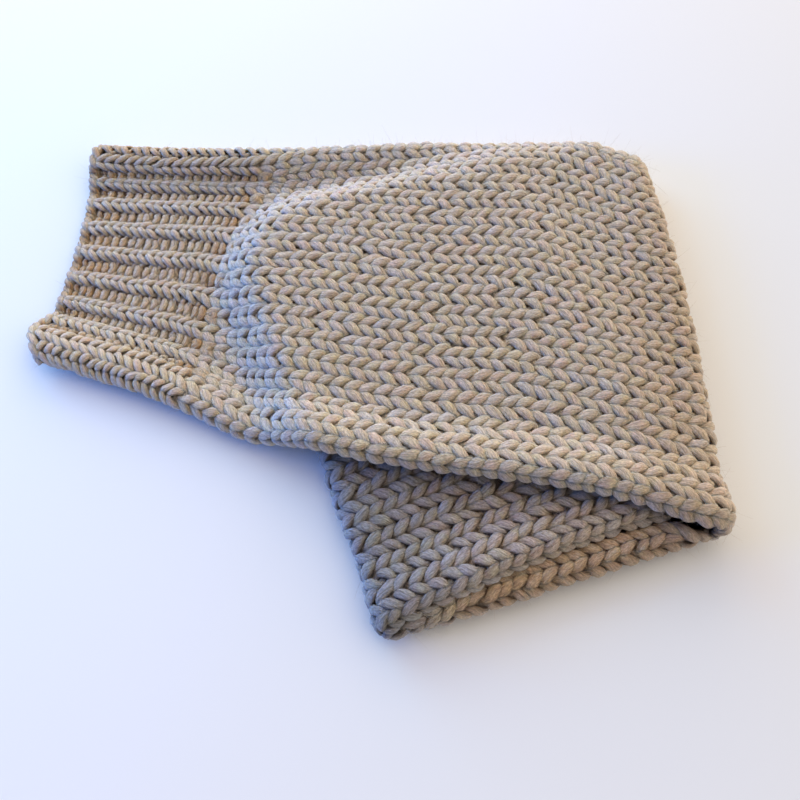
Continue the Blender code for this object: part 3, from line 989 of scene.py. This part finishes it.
class Nodes:
    """Short ways to add shader nodes to a material or a world."""

    def __init__(self, owner, shader="Principled BSDF"):
        owner.use_nodes = True
        self.tree = owner.node_tree
        self.shader = self.tree.nodes[shader]

    def feed(self, socket, value):
        """Gives a socket another node's output or a value of its own. A colour is three numbers."""
        if hasattr(value, "is_output"):
            self.tree.links.new(value, socket)
        elif socket.type == "RGBA":
            socket.default_value = (*value, 1)
        else:
            socket.default_value = value

    def shade(self, inputs):
        """Sets the shader's inputs by their names."""
        for name, value in inputs.items():
            self.feed(self.shader.inputs[name], value)

    def add(self, kind, inputs=(), **settings):
        """A new node, with its inputs by name or number."""
        node = self.tree.nodes.new(kind)
        for name, value in settings.items():
            setattr(node, name, value)
        for name, value in dict(inputs).items():
            self.feed(node.inputs[name], value)
        return node

    def math(self, operation, *values):
        return self.add("ShaderNodeMath", enumerate(values), operation=operation).outputs[0]

    def times(self, first, second):
        return self.math("MULTIPLY", first, second)

    def vector(self, x, y, z):
        return self.add("ShaderNodeCombineXYZ", {"X": x, "Y": y, "Z": z}).outputs[0]

    def attribute(self, name, output="Fac"):
        return self.add("ShaderNodeAttribute", attribute_name=name).outputs[output]

    def noise(self, vector, scale, detail, roughness=0.5):
        inputs = {"Vector": vector, "Scale": scale, "Detail": detail, "Roughness": roughness}
        return self.add("ShaderNodeTexNoise", inputs).outputs["Fac"]

    def level(self, value, low, high):
        """How far a value is from low to high, from 0 to 1."""
        inputs = {"Value": value, "From Min": low, "From Max": high}
        return self.add("ShaderNodeMapRange", inputs).outputs["Result"]

    def ramp(self, factor, stops):
        node = self.add("ShaderNodeValToRGB", {"Fac": factor})
        elements = node.color_ramp.elements
        while len(elements) < len(stops):
            elements.new(0.5)
        for element, (place, colour) in zip(elements, stops):
            element.position = place
            element.color = (*colour, 1)
        return node.outputs["Color"]

    def blend(self, factor, first, second, kind="MIX"):
        """Two colours or directions mixed. The inputs are a mix node's sockets for colours."""
        inputs = {0: factor, 6: first, 7: second}
        return self.add("ShaderNodeMix", inputs, data_type="RGBA", blend_type=kind).outputs[2]


class Winding:
    """Noises that wind round the yarn as its fibres and plies do."""

    def __init__(self, n, along, around):
        self.n, self.along = n, along
        self.turn = n.math("ADD", around, n.math("DIVIDE", along, PLY_TURN))
        angle = n.times(self.turn, 2 * math.pi)
        self.round = n.math("COSINE", angle), n.math("SINE", angle)

    def noise(self, reach, stretch, *settings):
        n = self.n
        circle = [n.times(side, reach) for side in self.round]
        return n.noise(n.vector(*circle, n.times(self.along, stretch)), *settings)

    def plies(self):
        """0 on the lines between plies and 1 on top of them."""
        n = self.n
        wave = n.math("ABSOLUTE", n.math("SINE", n.times(self.turn, PLIES * math.pi)))
        return n.math("POWER", wave, PLY_SHARPNESS)


def heather(n, along, around):
    """Wools that come and go along the yarn and side by side on it."""
    colour = WOOL
    for hue, most, quick, varies, seed, scale, detail, low, high in HEATHER:
        place = n.vector(n.times(along, quick), around if varies else 0.0, seed)
        share = n.level(n.noise(place, scale, detail), low, high)
        colour = n.blend(n.times(share, most), colour, hue)
    return colour


def cast_colour(n, winding, colour):
    """Patches of ochre, partly painted warm shade, or an even grey painted shade, by the yarn's
    attribute.
    """
    cast = n.attribute("cast")
    patches = n.level(winding.noise(*PATCHES), *OCHRE_LEVELS)
    colour = n.blend(n.times(n.math("MAXIMUM", cast, 0.0), patches), colour, OCHRE)
    grey = n.math("MAXIMUM", n.times(cast, -1.0), 0.0)
    return n.blend(grey, colour, GREY_SHADE, "MULTIPLY")


def nap_normal(n):
    """The surface's normal turned towards the cloth's, as soft yarn's fibres blur its roundness."""
    knit_side = n.add(
        "ShaderNodeVectorTransform",
        {"Vector": n.attribute("knit_side", "Vector")},
        vector_type="NORMAL",
        convert_from="OBJECT",
        convert_to="WORLD",
    ).outputs[0]
    return n.blend(NAP, n.add("ShaderNodeNewGeometry").outputs["Normal"], knit_side)


def yarn_material():
    """Heather wool: its colours drift along it, fibres wind round it, and its depths are darker, as
    painted shade.
    """
    material = bpy.data.materials.new("wool_yarn")
    n = Nodes(material)
    uv = n.add("ShaderNodeUVMap", uv_map="yarn").outputs["UV"]
    along, around, _ = n.add("ShaderNodeSeparateXYZ", {"Vector": uv}).outputs
    winding = Winding(n, along, around)
    plies, fibres, grain = winding.plies(), winding.noise(*FIBRES), winding.noise(*GRAIN)
    colour = cast_colour(n, winding, heather(n, along, around))
    flecks = n.ramp(winding.noise(*FLECKS), FLECK_STOPS)
    colour = n.blend(n.times(flecks, FLECK_SHARE), colour, FLECK)
    depth = n.level(n.attribute("height"), *DEPTH_RANGE)
    # Fibre streaks and grain are the yarn's own tone; the darker ply lines and depths are painted
    # shade.
    for value, stops in (
        (fibres, STREAK_STOPS),
        (grain, GRAIN_STOPS),
        (plies, PLY_STOPS),
        (depth, DEPTH_STOPS),
    ):
        colour = n.blend(1.0, colour, n.ramp(value, stops), "MULTIPLY")
    layers = [n.times(*pair) for pair in zip((plies, fibres, grain), RELIEF_SHARES)]
    relief = n.math("ADD", n.math("ADD", layers[0], layers[1]), layers[2])
    bump = n.add("ShaderNodeBump", {"Height": relief, "Normal": nap_normal(n), **RELIEF})
    n.shade({"Base Color": colour, "Normal": bump.outputs[0], **YARN_SHADING})
    return material


def plain_wool(name, scale, detail, stops, gloss):
    """Matt wool in two tones."""
    material = bpy.data.materials.new(name)
    n = Nodes(material)
    place = n.add("ShaderNodeTexCoord").outputs["Object"]
    colour = n.ramp(n.noise(place, scale, detail), stops)
    n.shade({"Base Color": colour, "Roughness": 1.0, "Specular IOR Level": gloss})
    return material


def worn(piece):
    """Rides the scarf's body."""
    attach(piece, BODY)
    return piece


def shade_sheet(cloth):
    """A plain dark sheet among the loops' feet, which closes the gaps between them: painted shade
    there.
    """
    places = np.linspace(*BASE_STITCHES, BASE_COLUMNS), np.linspace(*BASE_ROWS, 2 * ROWS)
    stitch, row = np.meshgrid(*places)
    points, faced = cloth.at(drawn(stitch, row), cast_on_rows(stitch, row))
    points = points - BASE_DEPTH * faced
    index = np.arange(stitch.size).reshape(stitch.shape)
    corners = index[:-1, :-1], index[:-1, 1:], index[1:, 1:], index[1:, :-1]
    quads = np.stack(corners, axis=-1).reshape(-1, 4)
    piece = worn(mesh_object("cloth", rested(points.reshape(-1, 3)), quads))
    piece.data.materials.append(plain_wool(*DEEP_SHADE))
    return piece


def scarf():
    """Every piece of yarn, the loose fibres and the sheet among the loops."""
    rng = np.random.default_rng(SEED)
    cloth = Cloth()
    yarn = yarn_material()
    fibres = {name: count for name, _, count, _ in PIECES}
    pieces, strands = [], []
    for name, tubes in yarn_tubes(cloth, rng).items():
        vertices, quads, uvs, tones = joined(tubes)
        vertices = rested(vertices)
        piece = worn(mesh_object(name, vertices, quads, uvs, tones))
        piece.data.materials.append(yarn)
        if name in REPLACED:
            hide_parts(REPLACED[name])
        pieces.append(piece)
        strands.append(fuzz_strands(vertices, quads, fibres[name], rng))
    points, faces = joined(strands)
    loose = worn(mesh_object("loose_fibres", rested(points), faces))
    loose.data.materials.append(plain_wool(*FUZZ_WOOL))
    pieces.append(loose)
    shade_sheet(cloth)
    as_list(pieces)


def floor():
    """A plain pale floor."""
    corners = ((-1, -1, 0), (1, -1, 0), (1, 1, 0), (-1, 1, 0))
    ground = mesh_object("floor", FLOOR_REACH * np.array(corners), np.array([[0, 1, 2, 3]]))
    material = bpy.data.materials.new("floor")
    Nodes(material).shade({"Base Color": FLOOR_COLOUR, "Roughness": 1.0})
    ground.data.materials.append(material)


def soft_light():
    """Light all round, from the dark side to the bright one, shown as it is."""
    scene = bpy.context.scene
    scene.view_settings.view_transform = "Standard"
    scene.world = scene.world or bpy.data.worlds.new("world")
    n = Nodes(scene.world, "Background")
    direction = n.add("ShaderNodeTexCoord").outputs["Generated"]
    ahead = n.add("ShaderNodeVectorMath", {0: direction, 1: WORLD_SIDE}, operation="DOT_PRODUCT")
    n.shade({"Color": n.blend(n.level(ahead.outputs["Value"], *WORLD_TURN), *WORLD)})


def lamp(name, place, size, watts):
    """A square lamp that faces the scarf."""
    data = bpy.data.lights.new(name, "AREA")
    data.energy = max(watts)
    data.color = [share / data.energy for share in watts]
    data.size = size
    holder = bpy.data.objects.new(name, data)
    holder.location = place
    x, y, z = place
    holder.rotation_euler = (math.atan2(math.hypot(x, y), z), 0, math.atan2(x, -y))
    bpy.context.scene.collection.objects.link(holder)


def stage():
    """A pale floor, soft light all round and plain lamps."""
    floor()
    soft_light()
    for name, place, size, watts in LAMPS:
        lamp(name, place, size, watts)


def camera():
    """The camera at the photograph's angle, from the front and above."""
    data = bpy.data.cameras.new("camera")
    data.lens = EYE_LENS
    data.sensor_width = EYE_SENSOR
    data.clip_start = EYE_NEAR
    eye = bpy.data.objects.new("camera", data)
    elevation = math.radians(EYE_ELEVATION)
    back = np.array([0, -math.cos(elevation), math.sin(elevation)])
    eye.location = np.array([*ORIGIN_SHIFT, 0.0]) * MM + EYE_DISTANCE * back
    eye.rotation_euler = (math.pi / 2 - elevation, 0, 0)
    bpy.context.scene.collection.objects.link(eye)
    bpy.context.scene.camera = eye


scarf()
stage()
camera()
